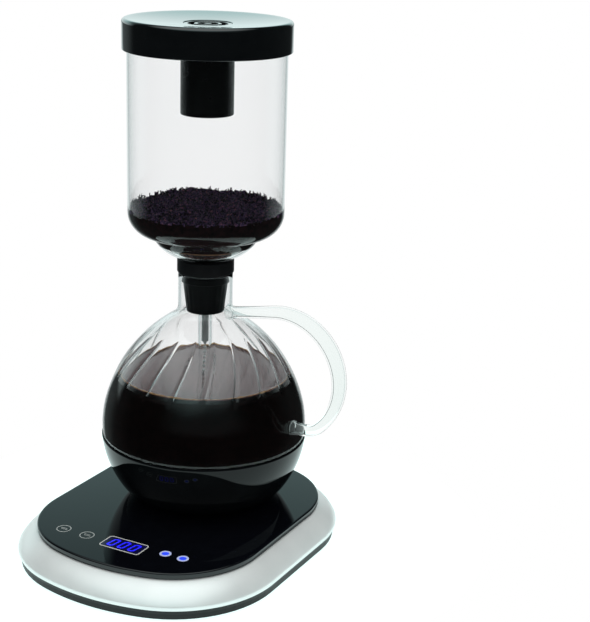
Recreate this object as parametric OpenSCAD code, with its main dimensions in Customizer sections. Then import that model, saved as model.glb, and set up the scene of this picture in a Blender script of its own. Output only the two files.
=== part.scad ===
/* [Base] */
// Half of the glass panel's width
panel_half_w = 76; // [72:1:80]
// Distance from the jug axis to the panel's front edge
panel_front = 122; // [118:1:126]
// Distance from the jug axis to the panel's rear edge
panel_rear = 67; // [65:1:70]
// Radius of the panel's gently curved ends
panel_end_r = 125; // [120:1:140]
// Radius of the panel's corners
panel_corner_r = 58; // [54:1:60]
// Height of the panel's top face above the table
panel_top = 26.5; // [26:0.5:28]
// Thickness of the glass panel
panel_t = 4; // [3.5:0.5:4]
// How far the silver skirt stands out past the panel
skirt_reach = 12.3; // [11:0.1:13]

/* [Jug] */
// Outer radius of the glass globe
globe_r = 66.6; // [66.2:0.1:67]
// Height of the globe's centre above the panel
globe_lift = 49.5; // [49:0.5:50]
// Wall of the glass
glass_t = 1.8; // [1.6:0.1:2]
// Radius of the slimmer arc that leads up to the neck
shoulder_r = 95; // [92:1:100]
// Outer radius of the neck
neck_r = 17.5; // [17.2:0.1:17.8]
// Height of the coffee above the globe's centre
coffee_level = 35; // [10:1:37]
// Outer radius of the handle's tube
handle_tube_r = 4.8; // [4:0.1:5]
// Radius of the handle's big bend
handle_bend_r = 40.8; // [38:0.2:42]

/* [Upper chamber] */
// Outer radius of the upper chamber
chamber_r = 49.5; // [49:0.1:49.6]
// Depth of coffee grounds at the wall, measured from the globe's centre
grounds_level = 146.5; // [140:0.5:150]
// Radius of the stopper's collar
collar_r = 18.2; // [17.6:0.1:19]
// Radius of the stem
stem_r = 4.5; // [4.5:0.1:4.6]

/* [Lid] */
// Radius of the lid
lid_r = 52.5; // [52.4:0.1:54]
// Height of the lid
lid_h = 19; // [18.8:0.1:20]
// Length of the tube below the lid's rim
lid_tube_drop = 39; // [20:1:40]
// How deep the lid's top is dished at its centre
lid_dish = 2.6; // [2:0.1:3]

/* [Hidden] */
$fn = 96;
EPS = 0.01;
BIG = 400;

// ---- heights and shared sizes ----
globe_z = panel_top + globe_lift;
foot_h = 2;
foot_r = 7;
foot_pin_r = 2.5;
cover_floor_top = 4.5;
cover_rim_top = 8;
cover_reach = 10.4;
panel_bottom = panel_top - panel_t;
shell_top = panel_bottom - 0.2;
ledge_bottom = 18.5;
ledge_reach = -9;
control_board_z = 13;
power_board_z = 8;
board_t = 1.6;
parts_top = 18;
screw_r = 1.5;
board_screw_r = 1.2;

touch_keys = [[-43.9, -95.8], [-26.2, -95.8]];
touch_key_r = 4.7;
indicators = [[29.3, -91.9], [41.8, -91.9]];
indicator_r = 3.7;
lens_r = 2.3;
display_at = [1.5, -95.6];
display_w = 29;
display_d = 14.5;
digit_w = 4.4;
digit_h = 8.6;
digit_line = 1.1;
digit_pitch = 7.2;
print_t = 0.15;

foot_at = [[0, 0], [58, -88], [-58, -88], [56, 34], [-56, 34]];
base_screw_at = [[68, 30], [-68, 30], [69, -72], [-69, -72], [28, -112], [-28, -112], [26, 60], [-26, 60]];
control_screw_at = [[48, -85], [-48, -85], [48, -104], [-48, -104]];
power_screw_at = [[48, -66], [-48, -66], [48, -34], [-48, -34]];
lead_at = [-8, 0, 8];
lead_z = 10;

socket_r = 15;
socket_bottom = 14;
socket_top = 35.5;
socket_flange_z = 19;
slot_in = 7.6;
slot_out = 12;
slot_floor = 20;
contact_r = 2.6;
grommet_z = 12.7;
grommet_r = 4.6;

// Places below are heights above the globe's centre.
cradle_base = 27.7 - globe_z;
cradle_r = globe_r + 0.8;
cradle_round_r = 22;
cradle_wall = 2.2;
cradle_plate_r = 36;
cradle_opening_r = 30;
cradle_screw_r = 33;
rim_top = -6;
glass_bottom = -8;
seal_bottom = -11;
seal_in = 61.6;
seat_r = 65.4;
bowl_r = 63;
bowl_t = 0.8;
bowl_floor = -32;
ledge_top = seal_bottom - bowl_t;
ledge_t = 2.8;
element_r = 36;
element_tube_r = 3.4;
plug_top = 38.5 - globe_z;
neck_top = 103;
neck_round_r = 8;
shoulder_angle = 15;
shoulder_c = (globe_r - shoulder_r) * [cos(shoulder_angle), sin(shoulder_angle)];

handle_c = [57, 43.5];
handle_start = [10, 77];
handle_end_r = 12;
handle_end_angle = -50;

stem_bottom = -20;
stem_bore = 3;
stopper_bottom = 77;
stopper_lip_z = 97.3;
stopper_lip_r = 15.4;
fit_gap = 0.1;
chamber_t = 2;
chamber_bottom = 127.5;
chamber_corner_r = 15;
chamber_rim = 255;
dish_c = [11.5, 137.5];
dish_r = 25;
dish_bottom = dish_c.y - dish_r;
filter_z = 118.8;
filter_r = 24.4;
cloth_z = filter_z + 1.5;
cloth_top = cloth_z + 0.8;
nut_r = 4;
nut_top = cloth_top + 5;
spring_bottom = 56;
bead_r = 1.1;
bead_pitch = 3.2;
hook_r = 2.5;
hook_wire_r = 0.4;

lid_bottom = 243;
lid_top = lid_bottom + lid_h;
lid_round_r = 2.5;
lid_skirt_in = chamber_r + 0.5;
lid_plug_out = 46.3;
lid_plug_in = 43.5;
lid_centre = lid_top - lid_dish;
lid_dish_half = 49.5;
lid_dish_r = (pow(lid_dish_half, 2) + pow(lid_dish, 2)) / (2 * lid_dish);
insert_r = 15;
insert_floor = lid_centre - 2;
lid_ceiling = insert_floor - 1.2;

// ---- helpers ----
module band(z0, z1) translate([0, z0]) square([BIG, z1 - z0]);

module spin() translate([0, 0, globe_z]) rotate_extrude() children();

module disc(r, z0, z1) translate([0, 0, z0]) cylinder(r = r, h = z1 - z0);

module ring(r0, r1, z0, z1) difference() {
    disc(r1, z0, z1);
    disc(r0, z0 - 1, z1 + 1);
}

module at_each(places) for (p = places) translate([p.x, p.y, 0]) children();

module block(x0, x1, y0, y1, z0, z1) translate([x0, y0, z0]) cube([x1 - x0, y1 - y0, z1 - z0]);

module round_rect(w, d, r) {
    square([w - 2 * r, d], center = true);
    square([w, d - 2 * r], center = true);
    for (x = [-1, 1], y = [-1, 1]) translate([x * (w / 2 - r), y * (d / 2 - r)]) circle(r = r);
}

// ---- plan of the base: straight sides, round corners, gently curved ends ----
panel_side = panel_half_w - panel_corner_r;
arc_steps = 14;
function end_arc_y(end) = end - panel_end_r;
function corner_y(end) = end_arc_y(end) + sqrt(pow(panel_end_r - panel_corner_r, 2) - pow(panel_side, 2));
function arc_points(c, r, a0, a1, first, last) = [for (i = [first:last])
    let (a = a0 + (a1 - a0) * i / arc_steps) c + r * [cos(a), sin(a)]];

// One end of the plan, grown outwards by reach: corner, end arc, corner.
function end_points(end, reach) = let (
    y = corner_y(end),
    a = atan2(y - end_arc_y(end), panel_side)
) concat(
    arc_points([panel_side, y], panel_corner_r + reach, 0, a, 0, arc_steps),
    arc_points([0, end_arc_y(end)], panel_end_r + reach, a, 180 - a, 1, arc_steps - 1),
    arc_points([-panel_side, y], panel_corner_r + reach, 180 - a, 180, 0, arc_steps)
);

module plan(reach = 0) polygon(concat(end_points(panel_rear, reach), [for (p = end_points(panel_front, reach)) -p]));

module slab(reach, z0, z1) translate([0, 0, z0]) linear_extrude(z1 - z0) plan(reach);

// ---- base: housing ----
module rubber_feet() color("#202020") at_each(foot_at) {
    disc(foot_r, 0, foot_h);
    disc(foot_pin_r, foot_h - EPS, cover_floor_top - 0.5);
}

module bottom_cover() color("#1a1a1a") difference() {
    union() {
        difference() {
            slab(cover_reach, foot_h, cover_rim_top);
            slab(cover_reach - 2, cover_floor_top, cover_rim_top + 1);
        }
        at_each(control_screw_at) disc(3.5, cover_floor_top - EPS, control_board_z);
        at_each(power_screw_at) disc(3.5, cover_floor_top - EPS, power_board_z);
    }
    at_each(foot_at) disc(foot_pin_r, 0, cover_floor_top - 0.5);
    at_each(base_screw_at) {
        disc(screw_r, 0, cover_floor_top + 1);
        disc(3.1, 0, foot_h + 1.2);
    }
    at_each(control_screw_at) disc(board_screw_r, control_board_z - 4, control_board_z + 1);
    at_each(power_screw_at) disc(board_screw_r, power_board_z - 3, power_board_z + 1);
    for (i = [-4:4]) translate([i * 8, 0, 0]) block(-1.2, 1.2, -62, -46, 0, cover_floor_top + 1);
}

// The skirt's section, from the bottom up: a tight bend at the widest point, then a wide one to the flat top.
skirt_top_reach = -1;
skirt_top_angle = 72;
skirt_edge_angle = 28;
skirt_edge_r = 3;
skirt_bend_r = (skirt_reach - skirt_top_reach - skirt_edge_r * (1 - cos(skirt_edge_angle)))
    / (cos(skirt_edge_angle) - cos(skirt_top_angle));
skirt_bend_c = [skirt_top_reach, shell_top] - skirt_bend_r * [cos(skirt_top_angle), sin(skirt_top_angle)];
skirt_edge_c = skirt_bend_c + (skirt_bend_r - skirt_edge_r) * [cos(skirt_edge_angle), sin(skirt_edge_angle)];
skirt_section = concat(
    [[skirt_reach - 0.2, cover_rim_top + 0.05]],
    arc_list(skirt_edge_c, skirt_edge_r, 0, skirt_edge_angle - 1, 2),
    arc_list(skirt_bend_c, skirt_bend_r, skirt_edge_angle + 5, skirt_top_angle, 3)
);
skirt_hollow_reach = 4;

module base_shell() color("#c8cccc") {
    difference() {
        hull() for (p = skirt_section) translate([0, 0, p.y - EPS]) linear_extrude(EPS) plan(p.x);
        slab(9, 0, 14);
        slab(skirt_hollow_reach, 13, ledge_bottom);
        slab(ledge_reach, ledge_bottom - 1, shell_top + 1);
        translate([0, panel_rear, grommet_z]) rotate([-90, 0, 0]) cylinder(r = grommet_r, h = 20);
    }
    at_each(base_screw_at) ring(screw_r, 3.8, cover_floor_top, ledge_bottom + EPS);
}

module top_panel() color("#0c0d0e") difference() {
    slab(0, panel_bottom, panel_top);
    disc(socket_r + 0.3, panel_bottom - 1, panel_top + 1);
    at_each(indicators) disc(indicator_r, panel_bottom - 1, panel_top + 1);
}

module panel_gasket() color("#303030") difference() {
    slab(-2, shell_top, panel_bottom);
    slab(ledge_reach + 1, shell_top - 1, panel_bottom + 1);
}

module base_screws() color("#9a9fa3") at_each(base_screw_at) {
    disc(3.1, foot_h + 0.2, foot_h + 1.2);
    disc(screw_r, foot_h + 1.2 - EPS, 13);
}

module cord_grommet() color("#181818") translate([0, 0, grommet_z]) rotate([-90, 0, 0]) {
    ring(3.2, grommet_r, 68, 82);
    ring(grommet_r - EPS, 5.6, 68, 70.6);
}

// ---- base: controls and electronics ----
module board(y0, y1, z, screws) difference() {
    block(-52, 52, y0, y1, z, z + board_t);
    at_each(screws) disc(board_screw_r, z - 1, z + board_t + 1);
}

module control_board() color("#1f5c37") board(-108, -80, control_board_z, control_screw_at);

module power_board() color("#1f5c37") board(-70, -30, power_board_z, power_screw_at);

module board_screw(z) {
    disc(2.4, z + board_t, z + board_t + 1.4);
    disc(board_screw_r, z - 3, z + board_t + EPS);
}

module board_screws() color("#9a9fa3") {
    at_each(control_screw_at) board_screw(control_board_z);
    at_each(power_screw_at) board_screw(power_board_z);
}

module display_module() color("#d8d8d4")
    block(display_at.x - 17, display_at.x + 17, display_at.y - 8.5, display_at.y + 8.5,
        control_board_z + board_t, panel_bottom);

// Printed and lit marks lie on the glass, one print thickness high.
module print_on(at) translate([at.x, at.y, panel_top]) linear_extrude(print_t) children();

module display_frame() color("#b9bcb8") print_on(display_at) difference() {
    round_rect(display_w, display_d, 2.4);
    round_rect(display_w - 1.4, display_d - 1.4, 1.8);
}

// A seven-segment zero: two bars on each side, one above and one below.
module zero_digit() {
    bar = digit_h / 2 - digit_line;
    for (x = [0, digit_w - digit_line], y = [digit_line / 2, digit_h / 2 + digit_line / 2])
        translate([x, y]) square([digit_line, bar]);
    for (y = [0, digit_h - digit_line]) translate([digit_line, y]) square([digit_w - 2 * digit_line, digit_line]);
}

module display_digits() color("#2b2bf0") for (i = [-1:1])
    print_on(display_at + [i * digit_pitch - digit_w / 2, -digit_h / 2]) zero_digit();

module touch_key_marks() color("#8c9492") for (p = touch_keys) print_on(p) {
    difference() {
        circle(r = touch_key_r);
        circle(r = touch_key_r - 0.6);
    }
    square([4.6, 0.6], center = true);
}

module touch_springs() color("#c0a060") at_each(touch_keys)
    ring(2.8, 3.6, control_board_z + board_t, panel_bottom);

module indicator_rings() color("#e8ecf2") at_each(indicators)
    ring(lens_r, indicator_r, panel_bottom - 1, panel_top + print_t);

module indicator_lenses() color("#2a3cf5") at_each(indicators)
    disc(lens_r, panel_bottom - 2, panel_top + print_t);

module led_chips() color("#f0f0e0") at_each(indicators)
    block(-1.8, 1.8, -1.8, 1.8, control_board_z + board_t, control_board_z + board_t + 2);

module transformer() color("#c9a227") block(-44, -14, -60, -36, power_board_z + board_t, parts_top);

module relay() color("#3566a8") block(4, 23, -60, -44, power_board_z + board_t, parts_top);

module capacitor() color("#24303c") translate([36, -52, 0]) disc(5, power_board_z + board_t, parts_top);

// Flat ribbon that steps down from the control board to the power board.
module ribbon_cable() color("#a8a8b0") rotate([90, 0, 90]) linear_extrude(14)
    polygon([[-84, 15.4], [-79.3, 15.4], [-70.3, 10.4], [-66, 10.4],
        [-66, 9.6], [-70.7, 9.6], [-79.7, 14.6], [-84, 14.6]]);

module terminal_block() color("#ded8c0") difference() {
    block(-14, 14, 48, 60, cover_floor_top, 16);
    for (x = lead_at) translate([x, 54, 0]) disc(2, 11, 17);
}

module mains_leads() color("#7a3020") for (x = lead_at)
    translate([x, 9, lead_z]) rotate([-90, 0, 0]) cylinder(r = 1.2, h = 39);

// ---- base: connector ----
module connector_socket() color("#2a2a2a") difference() {
    union() {
        disc(socket_r, socket_bottom, socket_top);
        disc(20, socket_flange_z, socket_flange_z + 2.4);
    }
    ring(slot_in, slot_out, slot_floor, socket_top + 1);
    ring(slot_out - 1, slot_out + 0.8, 24, 33);
    disc(contact_r, slot_floor, socket_top + 1);
}

module connector_contacts() color("#caa24a") {
    ring(slot_out, slot_out + 0.8, 24, 33);
    ring(2, contact_r, slot_floor, socket_top);
    for (x = lead_at) block(x - 1.5, x + 1.5, 8, 9, lead_z - 2, socket_bottom);
}

module connector_seal() color("#d04030") ring(socket_r + 0.3, 20, socket_flange_z + 2.4, panel_bottom);

module contact_shutter() color("#e0e0da") ring(slot_in + 0.3, slot_out - 0.3, 24.5, 27.6);

module shutter_spring() color("#b0b4b8") ring(slot_in + 0.8, slot_out - 0.8, slot_floor, 24.2);

// ---- jug ----
function arc_list(c, r, a0, a1, steps) = [for (i = [0:steps])
    let (a = a0 + (a1 - a0) * i / steps) c + r * [cos(a), sin(a)]];

// Outline of the globe, its shoulder and neck, moved outwards by grow.
module globe_2d(grow = 0) {
    reach = shoulder_r + neck_round_r;
    round_x = neck_r + neck_round_r;
    round_c = [round_x, shoulder_c.y + sqrt(pow(reach, 2) - pow(round_x - shoulder_c.x, 2))];
    meet_angle = atan2(round_c.y - shoulder_c.y, round_c.x - shoulder_c.x);
    polygon(concat(
        arc_list([0, 0], globe_r + grow, -90, shoulder_angle - 1.5, 44),
        arc_list(shoulder_c, shoulder_r + grow, shoulder_angle, meet_angle, 24),
        arc_list(round_c, neck_round_r - grow, meet_angle + 180 - 4, 180, 8),
        [[neck_r + grow, BIG / 2], [0, BIG / 2]]
    ));
}

module glass_globe() color([0.85, 0.92, 0.92, 0.35]) spin() intersection() {
    difference() {
        globe_2d();
        globe_2d(-glass_t);
    }
    band(glass_bottom, neck_top);
}

module tube_2d() difference() {
    circle(r = handle_tube_r);
    circle(r = handle_tube_r - 1.6);
}

// Bend of the handle's tube in the X-Z plane about c, between two angles.
module tube_bend(c, r, a0, a1) translate([c.x, 0, c.y]) rotate([90, 0, 0]) rotate([0, 0, a0])
    rotate_extrude(angle = a1 - a0) translate([r, 0]) tube_2d();

module tube_straight(p, q) translate([p.x, 0, p.y]) rotate([0, atan2(q.x - p.x, q.y - p.y), 0])
    linear_extrude(norm(q - p)) tube_2d();

function on_circle(c, r, a) = c + r * [cos(a), sin(a)];

module glass_handle() color([0.85, 0.92, 0.92, 0.35]) translate([0, 0, globe_z]) {
    to_start = handle_start - handle_c;
    top_angle = atan2(to_start.y, to_start.x) - acos(handle_bend_r / norm(to_start));
    end_c = on_circle(handle_c, handle_bend_r - handle_end_r, handle_end_angle);
    end_p = on_circle(end_c, handle_end_r, -90);
    difference() {
        union() {
            tube_straight(handle_start, on_circle(handle_c, handle_bend_r, top_angle));
            tube_bend(handle_c, handle_bend_r, handle_end_angle, top_angle);
            tube_bend(end_c, handle_end_r, -90, handle_end_angle);
            tube_straight([globe_r - 8, end_p.y], end_p);
        }
        rotate_extrude() globe_2d();
    }
}

// Outline of the cradle's bowl, moved outwards by grow.
module cradle_2d(grow = 0) {
    round_z = cradle_base + cradle_round_r;
    round_x = sqrt(pow(cradle_r - cradle_round_r, 2) - pow(round_z, 2));
    meet_z = round_z * (cradle_r + grow) / (cradle_r - cradle_round_r);
    intersection() {
        circle(r = cradle_r + grow);
        band(meet_z, rim_top);
    }
    intersection() {
        translate([round_x, round_z]) circle(r = cradle_round_r + grow);
        band(cradle_base - grow, meet_z + EPS);
    }
    translate([0, cradle_base - grow]) square([round_x, meet_z - cradle_base + grow + EPS]);
}

module cradle_screws_at(r, z0, z1) for (a = [0, 120, 240]) rotate(a) translate([cradle_screw_r, 0, globe_z])
    disc(r, z0, z1);

module cradle_shell() color("#101112") difference() {
    spin() difference() {
        cradle_2d();
        // seats of the glass and of the seal with the bowl's flange
        intersection() {
            circle(r = globe_r + fit_gap);
            band(glass_bottom, rim_top + 1);
        }
        translate([0, ledge_top]) square([seat_r, glass_bottom - ledge_top + EPS]);
        translate([0, ledge_top - ledge_t]) square([bowl_r - 0.7, ledge_t + EPS]);
        // hollow under the ledge, then the opening and the seat of the bottom plate
        intersection() {
            cradle_2d(-cradle_wall);
            band(cradle_base + 4.3, ledge_top - ledge_t + EPS);
        }
        translate([0, cradle_base - 1]) square([cradle_opening_r, 6]);
        translate([0, cradle_base - 1]) square([cradle_plate_r, 3]);
    }
    cradle_screws_at(board_screw_r, cradle_base, cradle_base + 5);
}

module cradle_bottom() color("#161718") difference() {
    ring(16.5, cradle_plate_r, 27.7, 29.7);
    cradle_screws_at(board_screw_r, cradle_base - 1, cradle_base + 3);
    cradle_screws_at(2.2, cradle_base - 1, cradle_base + 1);
}

module cradle_screws() color("#9a9fa3") {
    cradle_screws_at(2.2, cradle_base + 0.2, cradle_base + 1);
    cradle_screws_at(board_screw_r, cradle_base + 1 - EPS, cradle_base + 4.3);
}

module foot_ring() color("#222222") ring(23, 29.5, panel_top + fit_gap, 27.7);

module globe_seal() color("#c8c0b8") spin()
    translate([seal_in, seal_bottom]) square([seat_r - seal_in, glass_bottom - seal_bottom]);

module heater_bowl() color("#b8bcc0") spin() {
    intersection() {
        difference() {
            circle(r = bowl_r);
            circle(r = bowl_r - bowl_t);
        }
        band(bowl_floor - bowl_t, seal_bottom);
    }
    translate([0, bowl_floor - bowl_t]) square([sqrt(pow(bowl_r - bowl_t / 2, 2) - pow(bowl_floor, 2)), bowl_t]);
    translate([bowl_r - 1.6, ledge_top]) square([seat_r - bowl_r + 1.6, bowl_t]);
}

module heating_element() color("#7c7f82") translate([0, 0, globe_z + bowl_floor - bowl_t - element_tube_r]) {
    rotate(20) rotate_extrude(angle = 320) translate([element_r, 0]) circle(r = element_tube_r);
    for (a = [-20, 20]) rotate(a) translate([element_r, 0, -5]) cylinder(r = 2, h = 5);
}

module thermostat() color("#caa86a") translate([0, 0, globe_z]) disc(12, plug_top, bowl_floor - bowl_t);

module connector_plug() color("#303030") {
    ring(15.8, 19, 29.7, 36 + EPS);
    difference() {
        disc(19, 36, globe_z + plug_top);
        disc(1.6, 35, 37);
    }
    ring(slot_in + 0.8, 10.6, 28, 36 + EPS);
}

module plug_contacts() color("#caa24a") {
    ring(10.6, 11.2, 28.5, 36);
    disc(1.6, 24, 37);
}

module brewed_coffee() color("#1c0d08") spin() difference() {
    union() {
        intersection() {
            globe_2d(-glass_t);
            band(glass_bottom, coffee_level);
        }
        translate([0, seal_bottom]) square([seal_in, glass_bottom - seal_bottom + EPS]);
        intersection() {
            circle(r = bowl_r - bowl_t);
            band(bowl_floor, seal_bottom + EPS);
        }
    }
    translate([0, bowl_floor - 1]) square([5.7, BIG]);
}

// ---- upper chamber ----
// Outline of the cylinder and the small dish below it, moved outwards by grow.
module chamber_2d(grow = 0) {
    corner = [chamber_r - chamber_corner_r, chamber_bottom + chamber_corner_r];
    translate(corner) circle(r = chamber_corner_r + grow);
    translate([0, chamber_bottom - grow]) square([corner.x, chamber_corner_r + grow]);
    translate([0, corner.y]) square([chamber_r + grow, chamber_rim - corner.y + 5]);
    intersection() {
        translate(dish_c) circle(r = dish_r + grow);
        band(0, BIG);
    }
    translate([0, dish_bottom - grow]) square([dish_c.x, dish_r + grow]);
}

module upper_glass() color([0.85, 0.92, 0.92, 0.35]) spin() difference() {
    union() {
        intersection() {
            chamber_2d();
            band(0, chamber_rim);
        }
        translate([0, stem_bottom]) square([stem_r, dish_bottom - stem_bottom + 1]);
    }
    chamber_2d(-chamber_t);
    translate([0, stem_bottom - 1]) square([stem_bore, dish_bottom - stem_bottom + 10]);
}

module rubber_stopper() color("#141414") spin() difference() {
    union() {
        translate([0, neck_top + fit_gap]) square([collar_r, dish_bottom - neck_top - fit_gap]);
        translate([0, stopper_lip_z]) square([stopper_lip_r, neck_top + 1 - stopper_lip_z]);
        polygon([[0, stopper_bottom], [12, stopper_bottom], [14.6, stopper_lip_z + EPS], [0, stopper_lip_z + EPS]]);
    }
    square([stem_r, BIG]);
}

module filter_disc() color("#a8acb0") translate([0, 0, globe_z]) difference() {
    ring(bead_r, filter_r, filter_z, cloth_z);
    for (row = [[6, 6], [10, 12], [15, 16], [20, 22]]) for (i = [1:row[1]])
        rotate(360 * i / row[1]) translate([row[0], 0, 0]) disc(0.9, filter_z - 1, cloth_z + 1);
}

module filter_cloth() color("#6a4a30") translate([0, 0, globe_z]) ring(bead_r, filter_r + 1.6, cloth_z, cloth_top);

module filter_nut() color("#8c9094") translate([0, 0, globe_z]) disc(nut_r, cloth_top, nut_top);

module filter_spring() color("#70757a") translate([0, 0, globe_z]) ring(1.5, 2.3, spring_bottom, filter_z);

// Bead chain in the stem, ending in the hook that grips the stem's rim.
module filter_chain() color("#8a8e92") translate([0, 0, globe_z]) {
    chain_end = stem_bottom - 2;
    beads = floor((spring_bottom - bead_r - chain_end) / bead_pitch);
    for (i = [0:beads]) translate([0, 0, spring_bottom - bead_r - i * bead_pitch]) sphere(r = bead_r);
    disc(hook_wire_r, chain_end, spring_bottom - bead_r);
    translate([hook_r, 0, chain_end]) rotate([90, 0, 0]) rotate([0, 0, 180])
        rotate_extrude(angle = 180) translate([hook_r, 0]) circle(r = hook_wire_r);
    translate([2 * hook_r, 0, 0]) disc(hook_wire_r, chain_end, stem_bottom + 3);
}

module coffee_grounds() color("#1d1210") spin() difference() {
    intersection() {
        chamber_2d(-chamber_t);
        band(cloth_top, grounds_level);
    }
    square([nut_r, nut_top]);
}

module residual_coffee() color("#3a1410") spin() difference() {
    intersection() {
        chamber_2d(-chamber_t);
        band(dish_bottom, filter_z);
    }
    square([stem_bore, BIG]);
}

// ---- lid ----
module lid_shell() color("#0e0f10") spin() difference() {
    union() {
        translate([0, lid_bottom]) square([lid_r, lid_h - lid_round_r]);
        translate([0, lid_bottom]) square([lid_r - lid_round_r, lid_h]);
        translate([lid_r - lid_round_r, lid_top - lid_round_r]) circle(r = lid_round_r);
    }
    translate([0, lid_bottom - 1]) square([lid_skirt_in, 4]);
    translate([lid_plug_out, lid_bottom]) square([lid_skirt_in - lid_plug_out, chamber_rim + fit_gap - lid_bottom]);
    translate([0, lid_bottom]) square([lid_plug_in, lid_ceiling - lid_bottom]);
    translate([0, insert_floor]) square([insert_r + 0.05, 3]);
    translate([0, lid_centre + lid_dish_r]) circle(r = lid_dish_r, $fn = 720);
}

module lid_tube() color("#121314") translate([0, 0, globe_z])
    ring(14.2, 16.6, lid_bottom - lid_tube_drop, lid_ceiling);

// Round insert with raised rings, level with the middle of the lid's dished top.
module lid_insert() color("#1c1d1e") translate([0, 0, globe_z]) {
    disc(insert_r, insert_floor, insert_floor + 1.2);
    ring(12.6, insert_r, insert_floor + 1, lid_centre);
    ring(6.6, 8.4, insert_floor + 1, lid_centre);
    disc(2.3, insert_floor + 1, lid_centre);
}

module lid_seal() color("#26282a") translate([0, 0, globe_z]) for (z = [247.5, 250.5])
    ring(lid_plug_out, 47.2, z, z + 1.5);

rubber_feet();
bottom_cover();
base_shell();
top_panel();
panel_gasket();
control_board();
display_module();
display_digits();
display_frame();
touch_key_marks();
touch_springs();
indicator_rings();
indicator_lenses();
led_chips();
power_board();
transformer();
relay();
capacitor();
connector_socket();
connector_contacts();
connector_seal();
contact_shutter();
shutter_spring();
base_screws();
board_screws();
ribbon_cable();
cord_grommet();
terminal_block();
mains_leads();
glass_globe();
glass_handle();
cradle_shell();
globe_seal();
heater_bowl();
heating_element();
thermostat();
connector_plug();
plug_contacts();
cradle_bottom();
cradle_screws();
foot_ring();
brewed_coffee();
upper_glass();
rubber_stopper();
filter_disc();
filter_cloth();
filter_nut();
filter_spring();
filter_chain();
coffee_grounds();
residual_coffee();
lid_shell();
lid_tube();
lid_insert();
lid_seal();
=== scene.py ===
"""Electric siphon coffee maker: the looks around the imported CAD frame.

Lengths are in metres. The origin is on the table under the jug's axis, +Z up, and the display faces -Y.
"""

import math
import random

import bpy
from mathutils import Matrix, Vector


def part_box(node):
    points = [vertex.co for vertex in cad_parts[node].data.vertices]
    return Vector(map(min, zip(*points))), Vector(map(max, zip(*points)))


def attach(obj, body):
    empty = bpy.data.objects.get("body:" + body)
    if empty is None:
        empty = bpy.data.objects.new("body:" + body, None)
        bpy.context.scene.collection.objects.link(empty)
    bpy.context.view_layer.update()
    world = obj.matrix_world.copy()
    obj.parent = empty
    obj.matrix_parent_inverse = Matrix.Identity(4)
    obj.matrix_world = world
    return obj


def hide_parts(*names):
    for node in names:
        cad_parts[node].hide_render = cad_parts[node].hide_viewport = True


MM = 0.001
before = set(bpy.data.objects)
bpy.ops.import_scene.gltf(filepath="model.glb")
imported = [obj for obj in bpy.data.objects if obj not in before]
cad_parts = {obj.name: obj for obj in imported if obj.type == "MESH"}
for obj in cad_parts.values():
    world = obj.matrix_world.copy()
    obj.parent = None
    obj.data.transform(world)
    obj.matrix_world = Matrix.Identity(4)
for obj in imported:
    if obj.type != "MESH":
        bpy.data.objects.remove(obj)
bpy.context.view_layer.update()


def span(node):
    """A CAD node's lowest and highest corner, in millimetres."""
    low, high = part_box(node)
    return low / MM, high / MM


# ---------------------------------------------------------------- sizes, in millimetres
PANEL_LOW, PANEL_HIGH = span("top_panel")
GLOBE_LOW, GLOBE_HIGH = span("glass_globe")
LID_LOW, LID_HIGH = span("lid_shell")

PANEL_TOP = PANEL_HIGH.z
GLOBE_CUT = 8.0  # the glass is cut this far below the globe's centre
GLOBE_Z = GLOBE_LOW.z + GLOBE_CUT
GLOBE_R = 66.6
GLASS_T = 1.8
NECK_R = 17.5
COFFEE_LEVEL = span("brewed_coffee")[1].z - GLOBE_Z
CHAMBER_R = 49.5
CHAMBER_T = 1.3
CHAMBER_CORNER_R = 15.0
CHAMBER_CORNER = (CHAMBER_R - CHAMBER_CORNER_R, 142.5 + GLOBE_Z)  # the centre of the bend under the wall
CHAMBER_DISH_R = 25.0
CHAMBER_DISH = (11.5, 137.5 + GLOBE_Z)  # the centre of the bend above the stopper


# ---------------------------------------------------------------- mesh helpers
def new_object(name, verts, faces, body, mats, smooth=True, sharp=35):
    """A mesh object from vertices in millimetres. It rides on a body."""
    mesh = bpy.data.meshes.new(name)
    mesh.from_pydata([Vector(v) * MM for v in verts], [], faces)
    mesh.validate()
    obj = bpy.data.objects.new(name, mesh)
    bpy.context.scene.collection.objects.link(obj)
    for m in mats if isinstance(mats, (list, tuple)) else [mats]:
        mesh.materials.append(m)
    if smooth:
        mesh.shade_smooth()
        mesh.set_sharp_from_angle(angle=math.radians(sharp))
    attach(obj, body)
    return obj


def polar(cx, cy, r, degrees):
    """The point of a circle at an angle."""
    a = math.radians(degrees)
    return cx + r * math.cos(a), cy + r * math.sin(a)


def arc(cx, cy, r, a0, a1, n):
    """n + 1 points on an arc, from angle a0 to a1 in degrees."""
    return [polar(cx, cy, r, a0 + (a1 - a0) * i / n) for i in range(n + 1)]


def turns(n):
    """n angles once around, in radians."""
    return [2 * math.pi * i / n for i in range(n)]


def quads(lo, hi, n):
    """The faces between two closed rings of n vertices that start at lo and hi."""
    return [(lo + i, lo + (i + 1) % n, hi + (i + 1) % n, hi + i) for i in range(n)]


def even(points, step):
    """The same polyline with extra points, so that no stretch is longer than step."""
    out = [points[0]]
    for p, q in zip(points, points[1:]):
        n = max(1, math.ceil(math.dist(p, q) / step))
        out += [(p[0] + (q[0] - p[0]) * i / n, p[1] + (q[1] - p[1]) * i / n) for i in range(1, n + 1)]
    return out


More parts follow.
